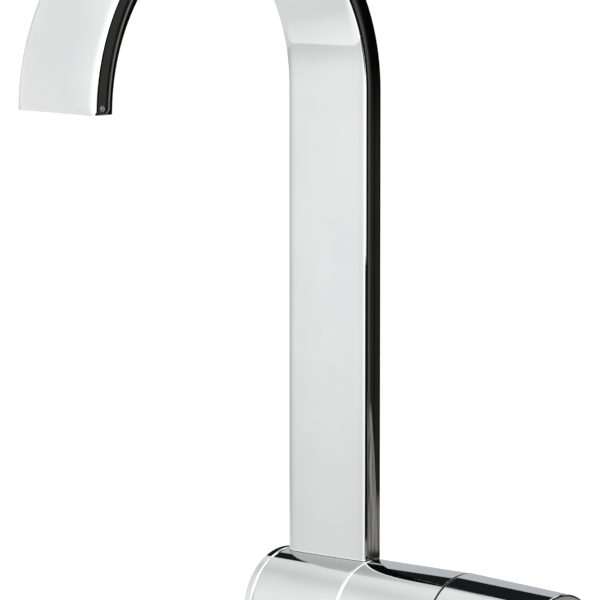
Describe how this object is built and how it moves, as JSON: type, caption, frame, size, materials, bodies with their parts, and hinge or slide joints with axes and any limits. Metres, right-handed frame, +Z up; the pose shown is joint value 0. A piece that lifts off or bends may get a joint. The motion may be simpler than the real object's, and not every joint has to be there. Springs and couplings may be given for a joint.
{
  "type": "kitchen mixer tap",
  "caption": "Kitchen tap with a flat gooseneck spout on a round horizontal body and a tapered turning handle.",
  "frame": {"origin": "on the worktop, on the swivel axis", "axes": "+Z up along the swivel axis, +X along the round body towards the handle, -Y the front, where the outlet hangs over the sink"},
  "size_m": [0.1491, 0.186, 0.4074],
  "materials": {
    "chrome": "polished chrome plate",
    "brass": "turned",
    "steel": "stainless",
    "rubber": "matt",
    "black_plastic": "moulded",
    "white_plastic": "moulded",
    "ceramic": "lapped"
  },
  "bodies": {
    "base": {"base_post": "brass", "base_flange": "brass", "base_ring": "chrome", "base_gasket": "rubber", "clamp_rubber": "rubber", "clamp_washer": "steel", "back_nut": "brass"},
    "swivel": {"body": "chrome", "glide_washer": "black_plastic", "lower_bush": "black_plastic", "upper_bush": "black_plastic", "stop_screw": "steel", "end_cap": "chrome", "end_cap_oring": "rubber", "spout": "chrome", "spout_foot": "brass", "foot_seals": "rubber", "spout_lock_screw": "steel", "outlet_insert": "white_plastic", "outlet_screen": "steel", "outlet_screw": "steel", "cartridge_base": "white_plastic", "port_seals": "rubber", "cartridge_shell": "white_plastic", "fixed_disc": "ceramic", "thrust_washer": "black_plastic", "spindle_oring": "rubber", "cartridge_nut": "brass", "sleeve": "chrome", "glide_bush": "black_plastic"},
    "handle": {"handle": "chrome", "handle_screw": "steel", "handle_plug": "chrome", "spindle": "brass", "moving_disc": "ceramic", "stop_ring": "steel"}
  },
  "joints": [
    {"name": "tap_swivel", "type": "hinge", "parent": "base", "child": "swivel", "pos_m": [0, 0, 0], "axis": [0, 0, 1], "range_deg": [-70, 70]},
    {"name": "handle_turn", "type": "hinge", "parent": "swivel", "child": "handle", "pos_m": [0.0953, 0, 0.058], "axis": [1, 0, 0], "range_deg": [0, 140]}
  ]
}
